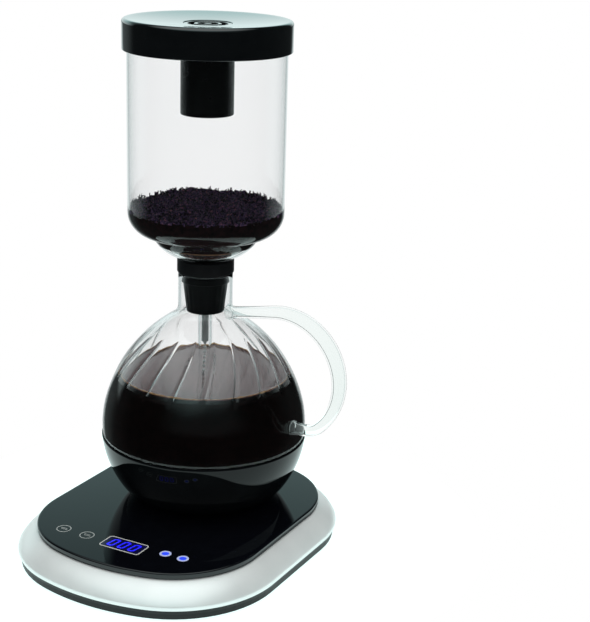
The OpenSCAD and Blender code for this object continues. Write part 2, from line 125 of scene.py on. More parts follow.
def lathe(name, profile, body, mat, seg, z0=0.0, warp=None, closed=False, sharp=35):
    """A surface of revolution from (r, z) points, up the outside. closed joins the last to the first."""
    verts, rings = [], []
    for r, z in profile:
        if r < 1e-6:
            rings.append([len(verts)])
            verts.append((0, 0, z + z0))
            continue
        ring = []
        for a in turns(seg):
            rr, zz = (r, z) if warp is None else warp(a, r, z)
            ring.append(len(verts))
            verts.append((rr * math.cos(a), rr * math.sin(a), zz + z0))
        rings.append(ring)
    pairs = list(zip(rings, rings[1:]))
    if closed:
        pairs.append((rings[-1], rings[0]))
    faces = []
    for lo, hi in pairs:
        if len(lo) == 1 and len(hi) == 1:
            continue
        for i in range(seg):
            j = (i + 1) % seg
            if len(lo) == 1:
                faces.append((lo[0], hi[j], hi[i]))
            elif len(hi) == 1:
                faces.append((lo[i], lo[j], hi[0]))
            else:
                faces.append((lo[i], lo[j], hi[j], hi[i]))
    return new_object(name, verts, faces, body, mat, sharp=sharp)


# ---------------------------------------------------------------- plan of the base
PLAN_HALF_W, PLAN_FRONT, PLAN_REAR = PANEL_HIGH.x, -PANEL_LOW.y, PANEL_HIGH.y
PLAN_CORNER_R, PLAN_END_R = 58.0, 125.0


def plan_points():
    """Points around the panel's outline, each with its outward normal."""
    out = []
    step = 2.2
    side = PLAN_HALF_W - PLAN_CORNER_R
    rise = math.sqrt((PLAN_END_R - PLAN_CORNER_R) ** 2 - side**2)
    for sign, end in ((1, PLAN_REAR), (-1, PLAN_FRONT)):
        arc_y = end - PLAN_END_R
        corner_y = arc_y + rise
        turn = math.degrees(math.atan2(corner_y - arc_y, side))
        pieces = (
            (side, corner_y, PLAN_CORNER_R, 0, turn),
            (0, arc_y, PLAN_END_R, turn, 180 - turn),
            (-side, corner_y, PLAN_CORNER_R, 180 - turn, 180),
        )
        for cx, cy, r, a0, a1 in pieces:
            n = math.ceil(math.radians(a1 - a0) * r / step)
            for i in range(n):
                a = math.radians(a0 + (a1 - a0) * i / n)
                nx, ny = math.cos(a), math.sin(a)
                out.append((sign * (cx + r * nx), sign * (cy + r * ny), sign * nx, sign * ny))
        other = PLAN_FRONT if sign == 1 else PLAN_REAR
        other_y = other - PLAN_END_R + rise
        n = math.ceil((corner_y + other_y) / (2 * step))
        for i in range(n):
            y = corner_y - (corner_y + other_y) * i / n
            out.append((-sign * PLAN_HALF_W, sign * y, -sign, 0))
    return out


PLAN = plan_points()


# ---------------------------------------------------------------- materials
def nodes_of(name):
    """A new material, its node tree and its shader."""
    mat = bpy.data.materials.new(name)
    mat.use_nodes = True
    tree = mat.node_tree
    return mat, tree, tree.nodes["Principled BSDF"]


def noise(tree, scale, detail=3.0, rough=0.55, stretch=(1, 1, 1)):
    """A noise texture in object space. scale counts its features per metre."""
    coord = tree.nodes.new("ShaderNodeTexCoord")
    mapping = tree.nodes.new("ShaderNodeMapping")
    mapping.inputs["Scale"].default_value = stretch
    tex = tree.nodes.new("ShaderNodeTexNoise")
    tex.inputs["Scale"].default_value = scale
    tex.inputs["Detail"].default_value = detail
    tex.inputs["Roughness"].default_value = rough
    tree.links.new(coord.outputs["Object"], mapping.inputs["Vector"])
    tree.links.new(mapping.outputs["Vector"], tex.inputs["Vector"])
    return tex.outputs["Fac"]


def ramp(tree, value, stops):
    """A colour ramp with (position, colour) stops."""
    node = tree.nodes.new("ShaderNodeValToRGB")
    items = node.color_ramp.elements
    while len(items) < len(stops):
        items.new(0.5)
    for item, (pos, color) in zip(items, stops):
        item.position = pos
        item.color = (*color, 1)
    tree.links.new(value, node.inputs["Fac"])
    return node.outputs["Color"]


def remap(tree, value, low, high):
    """A value that runs from low to high over the middle of a noise."""
    node = tree.nodes.new("ShaderNodeMapRange")
    for key, number in (("From Min", 0.3), ("From Max", 0.7), ("To Min", low), ("To Max", high)):
        node.inputs[key].default_value = number
    tree.links.new(value, node.inputs["Value"])
    return node.outputs["Result"]


def bump(tree, bsdf, value, strength, distance):
    """Relief on a shader's normal. distance is in metres."""
    node = tree.nodes.new("ShaderNodeBump")
    node.inputs["Strength"].default_value = strength
    node.inputs["Distance"].default_value = distance
    tree.links.new(value, node.inputs["Height"])
    tree.links.new(node.outputs["Normal"], bsdf.inputs["Normal"])


def surface(
    name, dark, light, rough, scale=120, grain=900, relief=0.05, depth=2e-5, stretch=(1, 1, 1), **sockets
):
    """A material whose colour varies from dark to light, with roughness (low, high) and a fine relief."""
    mat, tree, bsdf = nodes_of(name)
    soft = noise(tree, scale, stretch=stretch)
    tree.links.new(ramp(tree, soft, ((0.3, dark), (0.7, light))), bsdf.inputs["Base Color"])
    tree.links.new(remap(tree, soft, *rough), bsdf.inputs["Roughness"])
    if relief:
        bump(tree, bsdf, noise(tree, grain, detail=2, stretch=stretch), relief, depth)
    for key, number in sockets.items():
        bsdf.inputs[key.replace("_", " ")].default_value = number
    return mat


BLACKS = (0.0012, 0.0016, 0.002), (0.002, 0.0026, 0.003)
gloss_black = surface(
    "gloss_black", *BLACKS, (0.035, 0.06), relief=0, IOR=1.5, Coat_Weight=1.0, Coat_Roughness=0.03,
)
cradle_black = surface("cradle_black", *BLACKS, (0.03, 0.05), relief=0, Specular_IOR_Level=0.22)
panel_black = surface(
    "panel_black", (0.0014, 0.0017, 0.0028), (0.002, 0.0024, 0.0038), (0.02, 0.035),
    relief=0, IOR=1.52,
)
silver = surface(
    "silver", (0.71, 0.755, 0.745), (0.75, 0.79, 0.78), (0.32, 0.38),
    scale=60, grain=2600, relief=0.08, depth=1.2e-5, Metallic=0.4,
)
satin_black = surface(
    "satin_black", (0.004, 0.0055, 0.0055), (0.007, 0.009, 0.009), (0.38, 0.46),
    grain=3500, relief=0.12, Specular_IOR_Level=0.3,
)
tube_black = surface(
    "tube_black", (0.0014, 0.0018, 0.0022), (0.0022, 0.0026, 0.003), (0.2, 0.28),
    grain=3500, relief=0.1, Specular_IOR_Level=0.16,
)
rubber = surface(
    "rubber", (0.0028, 0.0036, 0.0045), (0.0045, 0.0055, 0.0065), (0.42, 0.55),
    grain=2200, relief=0.25, depth=4e-5, Specular_IOR_Level=0.18,
)
board_green = surface("board_green", (0.02, 0.12, 0.055), (0.03, 0.16, 0.08), (0.3, 0.45), scale=500)
off_white = surface("off_white", (0.68, 0.67, 0.62), (0.74, 0.73, 0.69), (0.35, 0.5))
steel = surface(
    "steel", (0.42, 0.43, 0.44), (0.56, 0.57, 0.58), (0.18, 0.3),
    grain=1500, relief=0.1, stretch=(1, 1, 6), Metallic=1.0,
)
# A paler, half-metallic copy of the steel: painted light, so that the filter chain and spring inside the stem
# show light grey.
steel_painted_light = surface(
    "steel_painted_light", (0.56, 0.60, 0.60), (0.68, 0.72, 0.72), (0.3, 0.4),
    grain=1500, relief=0.1, Metallic=0.5,
)
brass = surface("brass", (0.60, 0.44, 0.17), (0.72, 0.55, 0.25), (0.2, 0.32), Metallic=1.0)
copper = surface("copper", (0.40, 0.22, 0.08), (0.55, 0.33, 0.13), (0.35, 0.5), scale=400, stretch=(1, 1, 8))
blue_case = surface("blue_case", (0.05, 0.13, 0.36), (0.07, 0.17, 0.44), (0.3, 0.4))
ink_case = surface("ink_case", (0.02, 0.03, 0.06), (0.03, 0.045, 0.08), (0.25, 0.4))
ribbon = surface("ribbon", (0.42, 0.42, 0.45), (0.52, 0.52, 0.55), (0.4, 0.5), stretch=(8, 1, 1))
lead_brown = surface("lead_brown", (0.22, 0.08, 0.05), (0.28, 0.11, 0.07), (0.45, 0.55))
felt = surface(
    "felt", (0.10, 0.055, 0.03), (0.2, 0.12, 0.07), (0.85, 0.95),
    scale=700, relief=0.8, depth=2e-4, Sheen_Weight=0.3,
)


def clear_glass(name, specular, tint=(0.975, 0.983, 0.986), wobble=0.02, ior=1.41):
    """Blown glass: clear, slightly grey-green where it is thick, with a slow waviness."""
    mat, tree, bsdf = nodes_of(name)
    bsdf.inputs["Transmission Weight"].default_value = 1.0
    bsdf.inputs["IOR"].default_value = ior
    bsdf.inputs["Specular IOR Level"].default_value = specular
    bsdf.inputs["Roughness"].default_value = 0.0
    slow = noise(tree, 14, detail=1)
    paler = tuple(0.5 + 0.5 * c for c in tint)
    tree.links.new(ramp(tree, slow, ((0.3, tint), (0.7, paler))), bsdf.inputs["Base Color"])
    bump(tree, bsdf, slow, wobble, 2e-4)
    return mat


glass = clear_glass("glass", 0.3)
glass_ribbed = clear_glass("glass_ribbed", 0.2, tint=(0.965, 0.975, 0.975))
glass_handle_mat = clear_glass("glass_handle", 0.35, tint=(0.92, 0.958, 0.947), wobble=0.004, ior=1.075)


def lit(name, dark, light, strength):
    """A lit surface: it glows, a little unevenly."""
    mat, tree, bsdf = nodes_of(name)
    glow = ramp(tree, noise(tree, 300), ((0.3, dark), (0.7, light)))
    tree.links.new(glow, bsdf.inputs["Emission Color"])
    tree.links.new(glow, bsdf.inputs["Base Color"])
    bsdf.inputs["Emission Strength"].default_value = strength
    bsdf.inputs["Roughness"].default_value = 0.3
    return mat


digit_blue = lit("digit_blue", (0.008, 0.008, 0.55), (0.015, 0.015, 0.75), 1.0)
lamp_blue = lit("lamp_blue", (0.012, 0.03, 0.50), (0.02, 0.06, 0.72), 0.9)
lamp_white = lit("lamp_white", (0.32, 0.37, 0.60), (0.42, 0.47, 0.70), 0.15)
chip_white = lit("chip_white", (0.8, 0.8, 0.7), (0.9, 0.9, 0.8), 0.5)
print_grey = surface("print_grey", (0.30, 0.33, 0.32), (0.38, 0.41, 0.40), (0.4, 0.5), relief=0)
frame_grey = surface("frame_grey", (0.42, 0.43, 0.41), (0.5, 0.51, 0.48), (0.35, 0.45), relief=0)
window_blue = surface("window_blue", (0.004, 0.004, 0.03), (0.006, 0.006, 0.05), (0.02, 0.03), relief=0)

coffee_mat = surface(
    "coffee", (0.048, 0.018, 0.017), (0.064, 0.024, 0.022), (0.0, 0.01),
    scale=30, relief=0, IOR=1.75,
)
coffee_mat.node_tree.nodes["Principled BSDF"].inputs["Specular Tint"].default_value = (1.0, 0.62, 0.68, 1)
# The coffee's sides and underside: a far darker copy of the coffee's look, painted shade; the top keeps the
# lighter brown.
coffee_side_painted_shade = surface(
    "coffee_side_painted_shade", (0.0024, 0.0012, 0.0012), (0.0042, 0.002, 0.0019), (0.1, 0.15),
    scale=30, relief=0, IOR=1.34, Specular_IOR_Level=0.08,
)
residue_mat = surface(
    "residue", (0.035, 0.008, 0.005), (0.09, 0.02, 0.012), (0.05, 0.15),
    scale=160, relief=0.3, depth=2e-4, IOR=1.34,
)


def build_grounds_look():
    """Wet coffee: nearly black, flecked with brown, red and a little slate blue."""
    mat, tree, bsdf = nodes_of("grounds")
    fleck = noise(tree, 520, detail=4, rough=0.75)
    stops = (
        (0.40, (0.0015, 0.001, 0.0015)),
        (0.47, (0.012, 0.007, 0.013)),
        (0.53, (0.040, 0.027, 0.078)),
        (0.60, (0.090, 0.045, 0.080)),
        (0.70, (0.30, 0.11, 0.10)),
    )
    tree.links.new(ramp(tree, fleck, stops), bsdf.inputs["Base Color"])
    tree.links.new(remap(tree, fleck, 0.5, 0.8), bsdf.inputs["Roughness"])
    bsdf.inputs["Specular IOR Level"].default_value = 0.15
    bump(tree, bsdf, noise(tree, 1800, detail=2), 0.6, 2e-4)
    return mat


grounds_mat = build_grounds_look()
# The bed's sides: a far darker copy of the grounds' look, painted shade; the top keeps the flecked look.
grounds_side_painted_shade = surface(
    "grounds_side_painted_shade", (0.0012, 0.0008, 0.001), (0.013, 0.004, 0.005), (0.5, 0.7),
    scale=380, grain=1500, relief=0.4, depth=1e-4, Specular_IOR_Level=0.1,
)


# ---------------------------------------------------------------- lid
def build_lid():
    low, top, r = LID_LOW.z, LID_HIGH.z, LID_HIGH.x
    dip, land, lip_r = 2.6, 49.5, 15.6
    well_r, tube_r = 15.1, 16.7
    rim_in, spigot_out, spigot_in = 50.0, 46.3, 43.5
    edge_low, edge_high = 0.8, 2.4
    centre = top - dip
    well = centre - 2.0
    ceiling = well - 1.2
    dish_r = (land**2 + dip**2) / (2 * dip)

    def dish(x):
        return centre + dish_r - math.sqrt(dish_r**2 - x**2)

    underside = (
        [(spigot_out, ceiling), (spigot_out, low + 3.2), (spigot_in + 0.2, low + 3.2), (spigot_in, low + 3.4)]
        + [(spigot_in, ceiling)]
        + even([(spigot_in, ceiling), (tube_r, ceiling)], 6)[1:]
        + [(tube_r, ceiling + 0.2), (0, ceiling + 0.2)]
    )
    outside = (
        [(rim_in, ceiling), (rim_in, low + 0.3)]
        + arc(rim_in + 0.3, low + 0.3, 0.3, 180, 270, 3)[1:]
        + arc(r - edge_low, low + edge_low, edge_low, -90, 0, 6)
        + even([(r, low + edge_low), (r, top - edge_high)], 4)[1:]
        + arc(r - edge_high, top - edge_high, edge_high, 0, 90, 12)[1:]
        + [(x, dish(x)) for x in (land, 47, 44, 41, 38, 35, 32, 29, 26, 23, 20, 17.5, lip_r)]
        + arc(lip_r, dish(lip_r) - 0.5, 0.5, 90, 180, 5)[1:]
        + [(well_r, well), (0, well)]
    )
    shell = lathe("lid_top", underside[::-1] + outside, "lid", gloss_black, seg=192)
    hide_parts("lid_shell")

    floor, crest, soft = well + 0.9, well + 1.9, 0.45

    def ridge(inner, outer):
        """The section of a raised ring with rounded shoulders."""
        return (
            [(inner, floor)]
            + arc(inner + soft, crest - soft, soft, 180, 90, 4)
            + arc(outer - soft, crest - soft, soft, 90, 0, 4)
            + [(outer, floor)]
        )

    rings = (
        [(0, crest)]
        + arc(1.9, crest - 0.4, 0.4, 90, 0, 4)
        + [(2.3, floor)]
        + ridge(6.5, 8.5)
        + ridge(12.4, 14.9)[:-1]
        + [(14.9, well + 0.05), (0, well + 0.05)]
    )
    insert = lathe("lid_rings", rings[::-1], "lid", gloss_black, seg=128)
    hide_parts("lid_insert")

    tube_low, tube_high = span("lid_tube")
    z0, z1 = tube_low.z, tube_high.z
    inner, outer, edge = 14.2, 16.6, 0.6
    tube = (
        [(inner, z1 - 0.05)]
        + even([(inner, z1), (inner, z0 + edge)], 5)[1:]
        + arc(inner + edge, z0 + edge, edge, 180, 270, 4)[1:]
        + arc(outer - edge, z0 + edge, edge, -90, 0, 4)
        + even([(outer, z0 + edge), (outer, z1 - 0.05)], 5)[1:]
    )
    piece = lathe("lid_tube_wall", tube, "lid", tube_black, seg=128, closed=True)
    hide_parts("lid_tube")

    for i, z in enumerate((248.0, 250.9)):
        bead = arc(46.5, z + GLOBE_Z, 0.75, 90, -90, 8)
        section = [(46.25, bead[-1][1])] + bead[::-1] + [(46.25, bead[0][1])]
        lip = lathe(f"lid_seal_lip_{i + 1}", section, "lid", rubber, seg=128, closed=True)
        if i == 0:
            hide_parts("lid_seal")


build_lid()


# ---------------------------------------------------------------- upper chamber
def build_chamber():
    """One glass wall: from the stem's tip through two bends to the rim, and back down the inside."""
    g = GLOBE_Z
    rim = span("upper_glass")[1].z
    stem_in, stem_out, stem_tip = 3.0, 4.5, -19.0 + g
    bead = (stem_out - stem_in) / 2

    def bends(t, dish_end):
        """The dish, the corner and the side: the outside at t = 0, the inside at t = wall thickness."""
        dish = arc(*CHAMBER_DISH, CHAMBER_DISH_R - t, -90, dish_end, 14)
        corner = arc(*CHAMBER_CORNER, CHAMBER_CORNER_R - t, -90, 0, 16)
        r = CHAMBER_R - t
        return dish, corner, even([(r, CHAMBER_CORNER[1]), (r, rim - 0.6)], 8)[1:]

    dish_out, corner_out, side_out = bends(0, -23.6)
    dish_in, corner_in, side_in = bends(CHAMBER_T, -22.0)
    outside = (
        [(stem_in, stem_tip - 0.4)]
        + arc(stem_in + bead, stem_tip - 0.25, bead, 180, 360, 8)
        + even([(stem_out, stem_tip), (stem_out, 110.5 + g)], 8)[1:]
        + arc(stem_out + 1.5, 110.9 + g, 1.5, 180, 95, 5)[1:]
        + dish_out[1:]
        + [(dish_out[-1][0] + 0.9, corner_out[0][1])]
        + corner_out
        + side_out
        + arc(CHAMBER_R - CHAMBER_T / 2, rim - CHAMBER_T / 2, CHAMBER_T / 2, 0, 180, 10)
    )
    inside = (
        side_in[::-1][1:]
        + corner_in[::-1]
        + dish_in[::-1]
        + arc(stem_in + 2.5, 112.4 + CHAMBER_T + g - 2.5, 2.5, 90, 180, 6)
        + even([(stem_in, 111 + g), (stem_in, stem_tip)], 8)
    )
    piece = lathe("chamber_glass", outside + inside, "chamber", glass, seg=192, closed=True, sharp=50)
    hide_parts("upper_glass")


build_chamber()


def build_stopper():
    """The rubber stopper: a fluted taper in the jug's neck, a rim on the neck and a collar above it."""
    neck = GLOBE_HIGH.z
    low = 77 + GLOBE_Z
    bore, collar, edge = 4.55, 18.2, 0.7
    flute_top = neck - 6.7
    section = (
        [(bore, low + 0.4), (bore + 0.35, low)]
        + arc(11.2, low + 0.8, 0.8, -90, -8, 4)
        + even([(12.05, low + 1), (14.3, neck - 6.6)], 3)[1:]
        + [(14.5, neck - 6.1), (14.9, neck - 5.9)]
        + arc(15.0, neck - 5.5, 0.4, -90, 0, 3)
        + even([(15.4, neck - 5.4), (15.4, neck - 2.2)], 2)[1:]
        + [(14.6, neck - 1.8), (14.6, neck - 0.2)]
        + [(14.6, neck + 0.1), (17.4, neck + 0.12)]
        + arc(17.6, neck + 0.8, 0.6, -80, 0, 4)
        + even([(collar, neck + 0.9), (collar, neck + 8.2)], 2)[1:]
        + arc(collar - edge, neck + 8.2, edge, 0, 90, 5)[1:]
        + [(12.5, neck + 8.95), (bore, neck + 8.95)]
    )

    def flutes(a, r, z):
        fluted = 12 < r < 14.4 and z < flute_top
        return r + 0.12 * math.cos(24 * a) * (1 if fluted else 0), z

    plug = lathe("stopper", section, "chamber", rubber, seg=144, closed=True, warp=flutes)
    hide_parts("rubber_stopper")


build_stopper()


def build_grounds():
    """Wet, coarse grounds: a lumpy bed against the glass, strewn with loose grains and tufts of them."""
    rng = random.Random(11)
    lap = 6.28  # about a full turn
    low, high = span("coffee_grounds")
    level, low = high.z, low.z
    r = 48.4
    crest = level - 1.4
    waves = [
        (rng.uniform(0.05, 0.9), rng.uniform(0, lap), rng.uniform(0, lap), rng.uniform(0.1, 0.45))
        for _ in range(26)
    ]

    def height(x, y):
        """The bed's lumps, from waves of (frequency, direction, height, phase)."""
        return sum(h * math.sin(k * (x * math.cos(d) + y * math.sin(d)) + 5 * p) for k, d, h, p in waves) * 0.06

    side = (
        [(0, low + 0.1), (26.4, low + 0.1), (27.0, low + 0.4)]
        + arc(*CHAMBER_DISH, CHAMBER_DISH_R - 1.0, -42, -24, 6)[1:]
        + arc(*CHAMBER_CORNER, CHAMBER_CORNER_R - 1.1, -88, 0, 14)
        + [(r, level - 3.0), (r, level - 1.9)]
    )
    top = even([(r - 0.2, crest), (0, crest - 0.8)], 0.9)

    def warp(a, rr, z):
        x, y = rr * math.cos(a), rr * math.sin(a)
        if z > crest - 1.0:
            return rr, z + height(x, y) + rng.uniform(-0.5, 0.5)
        return rr - 0.04 * rng.random(), z

    looks = [grounds_mat, grounds_side_painted_shade]
    bed = lathe("grounds_bed", side + top, "chamber", looks, seg=220, warp=warp, sharp=180)
    # Faces below the top of the bed take the darker copy: painted shade.
    for face in bed.data.polygons:
        face.material_index = int(face.center.z < (crest - 0.9) * MM)
    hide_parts("coffee_grounds")

    verts, faces = [], []
    shape = [(1, 0, 0), (-1, 0, 0), (0, 1, 0), (0, -1, 0), (0, 0, 1), (0, 0, -1)]
    sides = [(0, 2, 4), (2, 1, 4), (1, 3, 4), (3, 0, 4), (2, 0, 5), (1, 2, 5), (3, 1, 5), (0, 3, 5)]

    def grain(x, y, z, size):
        """An uneven eight-sided grain, turned at random."""
        base = len(verts)
        angle = rng.uniform(0, lap)
        axis = Vector((rng.gauss(0, 1), rng.gauss(0, 1), rng.gauss(0, 1))).normalized()
        turn = Matrix.Rotation(angle, 3, axis)
        for corner in shape:
            v = turn @ (Vector(corner) * size * rng.uniform(0.55, 1.25))
            verts.append((x + v.x, y + v.y, z + v.z))
        faces.extend(tuple(base + i for i in f) for f in sides)

    for _ in range(5200):
        rr = (r - 1.2) * math.sqrt(rng.random())
        a = rng.uniform(0, 2 * math.pi)
        x, y = rr * math.cos(a), rr * math.sin(a)
        grain(x, y, crest + height(x, y) - 0.1 + rng.uniform(0, 0.6), rng.uniform(0.35, 0.95))
    for _ in range(230):
        a = rng.uniform(0, 2 * math.pi)
        rr = r - rng.uniform(1.2, 3.2)
        tall = rng.uniform(0.5, 3.0)
        for k in range(7):
            x, y = rr * math.cos(a) + rng.gauss(0, 0.3), rr * math.sin(a) + rng.gauss(0, 0.3)
            grain(x, y, crest + tall * k / 6, rng.uniform(0.55, 0.95) * (1 - 0.07 * k))
    strewn = new_object("grounds_grains", verts, faces, "chamber", grounds_mat, smooth=False)


build_grounds()


# ---------------------------------------------------------------- jug
SHOULDER_R, SHOULDER_A = 95.0, 15.0
SHOULDER_X = (GLOBE_R - SHOULDER_R) * math.cos(math.radians(SHOULDER_A))
SHOULDER_Z = (GLOBE_R - SHOULDER_R) * math.sin(math.radians(SHOULDER_A))
NECK_FILLET = 8.0
RIBS = 18
RIB_PITCH = 2 * math.pi / RIBS
RIB_START, RIB_START_Z = math.radians(2), 38  # one rib's angle, and the height above the centre where it has it
RIB_TWIST = math.radians(0.36)  # per millimetre of height


def globe_outline(inset=0.0, step=2.0, low=-GLOBE_CUT, high=103.0):
    """(r, z) points up the globe, shoulder and neck, moved inwards by inset; z is above the globe's centre."""
    reach = SHOULDER_R + NECK_FILLET
    cx = NECK_R + NECK_FILLET
    cz = SHOULDER_Z + math.sqrt(reach**2 - (cx - SHOULDER_X) ** 2)
    meet = math.degrees(math.atan2(cz - SHOULDER_Z, cx - SHOULDER_X))

    def bend(x, z, r, a0, a1):
        return arc(x, z, r, a0, a1, math.ceil(math.radians(a1 - a0) * r / step))

    r = GLOBE_R - inset
    ball = bend(0, 0, r, math.degrees(math.asin(low / r)), SHOULDER_A)
    shoulder = bend(SHOULDER_X, SHOULDER_Z, SHOULDER_R - inset, SHOULDER_A, meet)
    fillet = arc(cx, cz, NECK_FILLET + inset, meet + 180, 180, 10)
    neck = even([(NECK_R - inset, cz), (NECK_R - inset, high)], 4)
    return ball + shoulder[1:] + fillet[1:] + neck[1:]


def smooth_step(t):
    t = min(1, max(0, t))
    return t * t * (3 - 2 * t)


def rib_weight(z):
    """Ribs are strongest on the shoulder and fade out towards the rim and the neck."""
    return smooth_step((z - 14) / 20) * smooth_step((66 - z) / 14)


def rib_angle(a, z):
    """How far an angle lies from the nearest rib, in radians."""
    turned = a - RIB_START - RIB_TWIST * (z - RIB_START_Z)
    return (turned + RIB_PITCH / 2) % RIB_PITCH - RIB_PITCH / 2


def build_globe():
    """The globe's wall. Its columns follow the ribs, which are ridges inside and shallow flutes outside."""
    rim = GLOBE_HIGH.z - GLOBE_Z
    wall = GLASS_T
    outside = globe_outline(high=rim - wall / 2)
    lip = arc(NECK_R - wall / 2, rim - wall / 2, wall / 2, 0, 180, 8)[1:-1]
    inside = globe_outline(wall, high=rim - wall / 2)[::-1]
    profile = [(r, z, False) for r, z in outside + lip] + [(r, z, True) for r, z in inside]
    ridge_height, ridge_width, flute_in, flute_out = 1.3, 0.85, 0.1, 0.22
    columns = [i / 16 for i in range(16)]  # from 0 to 1 between two ribs, and crowded near the ribs
    columns = [s - 0.03 * math.sin(4 * math.pi * s) - 0.08 * math.sin(2 * math.pi * s) for s in columns]
    verts = []
    for r, z, inner in profile:
        w = rib_weight(z)
        for k in range(RIBS):
            for s in columns:
                off = (s - 0.5) * RIB_PITCH
                a = RIB_START + RIB_TWIST * (z - RIB_START_Z) + k * RIB_PITCH + off + RIB_PITCH / 2
                near = rib_angle(a, z)
                ridge = math.exp(-((near * r / ridge_width) ** 2))
                flute = 0.5 + 0.5 * math.cos(near * RIBS)
                cut = w * (ridge_height * ridge + flute_in * flute) if inner else w * flute_out * (1 - flute)
                verts.append(((r - cut) * math.cos(a), (r - cut) * math.sin(a), z + GLOBE_Z))
    seg = len(columns) * RIBS
    faces = []
    for row in range(len(profile)):
        faces += quads(row * seg, ((row + 1) % len(profile)) * seg, seg)
    piece = new_object("globe_glass", verts, faces, "jug", glass_ribbed, sharp=60)
    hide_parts("glass_globe")


build_globe()


def sweep(name, path, radii, wall, body, mat):
    """A hollow tube in the X-Z plane: an outer and an inner skin along path, closed at both ends."""
    seg = 72
    verts = []

    def ring(k, r):
        (x, z), (x0, z0), (x1, z1) = path[k], path[max(0, k - 1)], path[min(len(path) - 1, k + 1)]
        length = math.hypot(x1 - x0, z1 - z0)
        nx, nz = -(z1 - z0) / length, (x1 - x0) / length
        for a in turns(seg):
            verts.append((x + nx * r * math.cos(a), r * math.sin(a), z + nz * r * math.cos(a)))

    n = len(path)
    for k in range(n):
        ring(k, radii[k])
    for k in reversed(range(n)):
        ring(k, radii[k] - wall)
    rows = 2 * n
    faces = []
    for row in range(rows):
        lo, hi = row * seg, ((row + 1) % rows) * seg
        faces += [(lo + i, hi + i, hi + (i + 1) % seg, lo + (i + 1) % seg) for i in range(seg)]
    return new_object(name, verts, faces, body, mat, sharp=60)


def build_handle():
    """From the neck straight to a wide bend, round it, and through a tight bend back to the globe."""
    cx, cz, big = 57.0, 43.5, 40.8
    start = (NECK_R + 0.1, 78.3)
    reach = math.hypot(start[0] - cx, start[1] - cz)
    top = math.degrees(math.atan2(start[1] - cz, start[0] - cx)) - math.degrees(math.acos(big / reach))
    end_a, small_r = -50, 12
    bend = arc(cx, cz, big, top, end_a, 56)
    small = arc(*polar(cx, cz, big - small_r, end_a), small_r, end_a, -90, 12)
    foot = (GLOBE_R - 0.6, small[-1][1])
    path = even([start, bend[0]], 1.6) + bend[1:] + small[1:] + even([small[-1], foot], 1.0)[1:]
    lengths = [0]
    for p, q in zip(path, path[1:]):
        lengths.append(lengths[-1] + math.dist(p, q))
    total = lengths[-1]
    tube_r, swell, neck_flare, foot_flare = 3.9, 1.25, 1.5, 0.9
    radii = []
    for s in lengths:
        middle = min(1, max(0, (s / total - 0.12) / 0.72))
        r = tube_r + swell * math.sin(math.pi * middle) ** 1.3
        r += neck_flare * math.exp(-((s / 2.6) ** 2)) + foot_flare * math.exp(-(((total - s) / 2.2) ** 2))
        radii.append(r)
    points = [(x, z + GLOBE_Z) for x, z in path]
    piece = sweep("handle_glass", points, radii, 1.3, "jug", glass_handle_mat)
    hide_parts("glass_handle")


build_handle()


def build_coffee():
    """Coffee that fills the globe and reaches into its wall. It climbs a little where it meets the glass."""
    level = COFFEE_LEVEL
    bottom, join, stem_r, sunk = -31.8, -11, 4.9, 0.8
    bowl_r = 64.6
    bowl_a = [math.degrees(math.asin(z / bowl_r)) for z in (bottom, join)]
    bowl = arc(0, 0, bowl_r, *bowl_a, 20)
    skin = globe_outline(step=1.0, low=-10.5, high=100)
    wall = [(r - 1.45 - 2.0 * max(0, 1 - (level - z) / 4) ** 2, z) for r, z in skin if z < level + 0.5]
    r = wall[-1][0]
    profile = (
        [(0, bottom)]
        + even([(0, bottom), (bowl[0][0], bottom)], 6)[1:]
        + bowl[1:-1]
        + wall
        + [(r - 0.5, level + 0.15), (r - 1.1, level - 0.45), (r - 2.2, level - 0.75)]
        + even([(r - 4, level - sunk), (stem_r, level - sunk)], 3)
        + [(0, level - sunk)]
    )

    def warp(a, r, z):
        """The surface draws in and up at the ribs."""
        if r < 30 or z < -9:
            return r, z
        ridge = math.exp(-((rib_angle(a, z) * r / 1.1) ** 2))
        drawn_in = rib_weight(z) * 0.55 * ridge * (r > 40 and z > level - 5)
        return r - drawn_in, z + (0.35 * ridge if z > level - 0.3 else 0)

    looks = [coffee_mat, coffee_side_painted_shade]
    piece = lathe("coffee", profile, "jug", looks, seg=288, z0=GLOBE_Z, warp=warp, sharp=60)
    # Faces under the surface that do not face up take the darker copy: painted shade.
    for face in piece.data.polygons:
        face.material_index = int(face.center.z < (level + GLOBE_Z - 0.3) * MM and face.normal.z < 0.8)
    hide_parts("brewed_coffee")


build_coffee()


def build_coffee_edge():
    """The thin, paler line of froth where the coffee meets the glass."""
    mat, tree, bsdf = nodes_of("coffee_fringe")
    color = ramp(tree, noise(tree, 420), ((0.35, (0.55, 0.30, 0.12)), (0.65, (0.85, 0.62, 0.36))))
    tree.links.new(color, bsdf.inputs["Base Color"])
    bsdf.inputs["Roughness"].default_value = 0.12
    bsdf.inputs["Transmission Weight"].default_value = 0.6
    bsdf.inputs["IOR"].default_value = 1.34
    level = COFFEE_LEVEL
    wall = globe_outline(GLASS_T + 0.5, step=1.5, low=-10, high=100)
    r_wall = [r for r, z in wall if z < level + 1][-1]
    section = [(0, 0.75), (-0.35, 1.0), (-0.9, 0.55), (-1.2, 0.1), (-0.5, -0.2), (0.1, 0.2)]
    bead = [(r_wall + x, level + z) for x, z in section]
    mid_r, mid_z = r_wall - 0.5, level + 0.35
    rng = random.Random(7)
    lumps = [rng.uniform(0.15, 1.25) for _ in range(150)]

    def uneven(a, r, z):
        i = a / (2 * math.pi) * len(lumps)
        f = i - math.floor(i)
        size = lumps[int(i) % len(lumps)] * (1 - f) + lumps[(int(i) + 1) % len(lumps)] * f
        return mid_r + (r - mid_r) * size, mid_z + (z - mid_z) * size

    ring = lathe("coffee_edge", bead, "jug", mat, seg=288, z0=GLOBE_Z, warp=uneven, closed=True)


build_coffee_edge()


